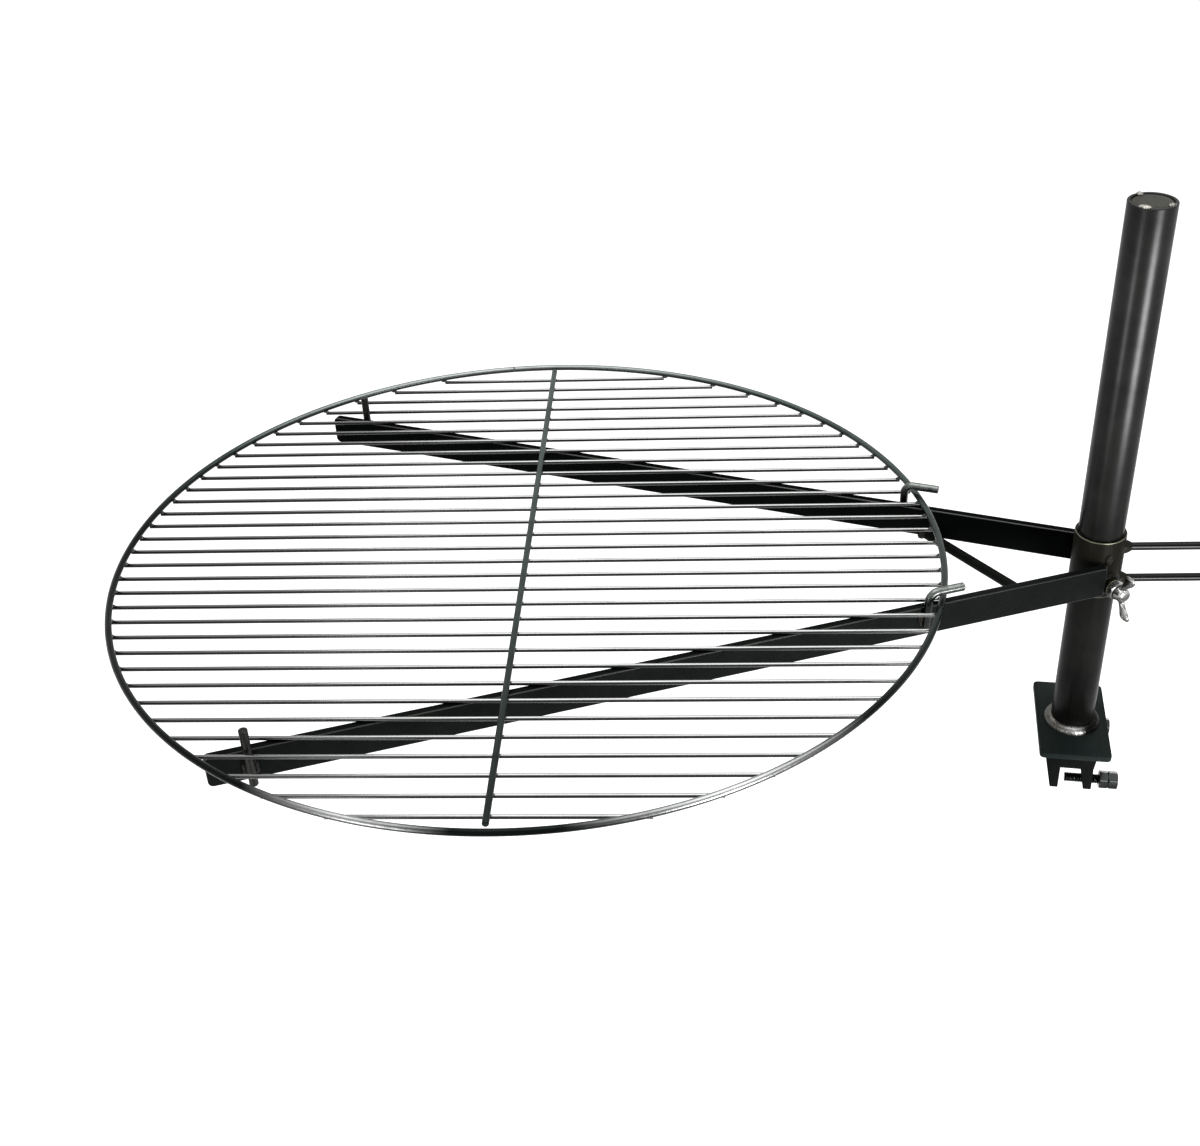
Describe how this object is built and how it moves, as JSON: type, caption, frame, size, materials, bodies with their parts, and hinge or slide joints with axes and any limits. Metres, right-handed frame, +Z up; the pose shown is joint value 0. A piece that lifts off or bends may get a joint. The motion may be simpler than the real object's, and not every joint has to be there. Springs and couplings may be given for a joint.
{
  "type": "fire pit grill grate",
  "caption": "Swing-out grill grate: a round wire grate on a V of flat bars, carried by a locking sleeve that slides and turns on a post clamped to a bowl's rim.",
  "frame": {"origin": "on the post's axis, at the height of the seats where the bowl's rim meets the two clamp forks", "axes": "+Z up along the post, +X outwards from the bowl (the clamp bolts' direction), Y along the rim; the arms and the grate stand turned by 7 degrees from -X, as in the picture"},
  "size_m": [1.1427, 0.8065, 0.6088],
  "materials": {
    "black_paint": "near-black heat-proof paint, satin, with soft streaks",
    "dark_steel": "dark mill steel under thin paint, dull",
    "bright_zinc": "bright zinc plate, satin",
    "dull_zinc": "dull dark zinc plate",
    "weld_bead": "rippled weld metal, painted over in places",
    "bare_steel": "drawn steel wire, satin, a little greenish grey"
  },
  "bodies": {
    "base": {"base_plate": "dark_steel", "front_fork": "dark_steel", "rear_fork": "dark_steel", "foot_weld": "weld_bead"},
    "front_bolt": {"front_clamp_bolt": "dull_zinc"},
    "front_nut": {"front_lock_nut": "dull_zinc"},
    "rear_bolt": {"rear_clamp_bolt": "dull_zinc"},
    "rear_nut": {"rear_lock_nut": "dull_zinc"},
    "post": {"post_tube": "black_paint", "post_cap": "black_paint", "cap_tacks": "weld_bead"},
    "carrier": {"sleeve": "black_paint", "near_arm": "black_paint", "far_arm": "black_paint", "arm_welds": "weld_bead", "brace_rod": "dark_steel", "near_peg": "bright_zinc", "far_peg": "bright_zinc", "near_hook": "bright_zinc", "far_hook": "bright_zinc", "handle_loop": "black_paint", "handle_welds": "weld_bead", "lock_boss": "black_paint"},
    "lock_screw": {"wing_screw": "bright_zinc"},
    "lock_nut": {"wing_lock_nut": "bright_zinc"},
    "grate": {"grate_ring": "bare_steel", "cross_wire": "bare_steel", "grate_wires": "bare_steel"}
  },
  "joints": [
    {"name": "swivel", "type": "hinge", "parent": "base", "child": "post", "pos_m": [0, 0, 0.024], "axis": [0, 0, 1], "continuous": true},
    {"name": "height", "type": "slide", "parent": "post", "child": "carrier", "axis": [0, 0, 1], "range_m": [-0.155, 0.32]},
    {"name": "grate_tip", "type": "hinge", "parent": "carrier", "child": "grate", "pos_m": [-0.14987, -0.0184, 0.2313], "axis": [-0.1219, 0.9925, 0], "range_deg": [0, 12]},
    {"name": "wing_turn", "type": "hinge", "parent": "carrier", "child": "lock_screw", "pos_m": [0.02133, -0.03848, 0.2065], "axis": [0.4848, -0.8746, 0], "range_deg": [0, 630]},
    {"name": "wing_nut_spin", "type": "hinge", "parent": "lock_screw", "child": "lock_nut", "pos_m": [0.01757, -0.0317, 0.2065], "axis": [0.4848, -0.8746, 0], "continuous": true},
    {"name": "front_clamp", "type": "slide", "parent": "base", "child": "front_bolt", "axis": [-1, 0, 0], "range_m": [-0.013, 0.0055]},
    {"name": "front_nut_spin", "type": "hinge", "parent": "front_bolt", "child": "front_nut", "pos_m": [0.0325, -0.0435, -0.018], "axis": [1, 0, 0], "continuous": true},
    {"name": "rear_clamp", "type": "slide", "parent": "base", "child": "rear_bolt", "axis": [-1, 0, 0], "range_m": [-0.013, 0.0055]},
    {"name": "rear_nut_spin", "type": "hinge", "parent": "rear_bolt", "child": "rear_nut", "pos_m": [0.0325, 0.0435, -0.018], "axis": [1, 0, 0], "continuous": true}
  ]
}
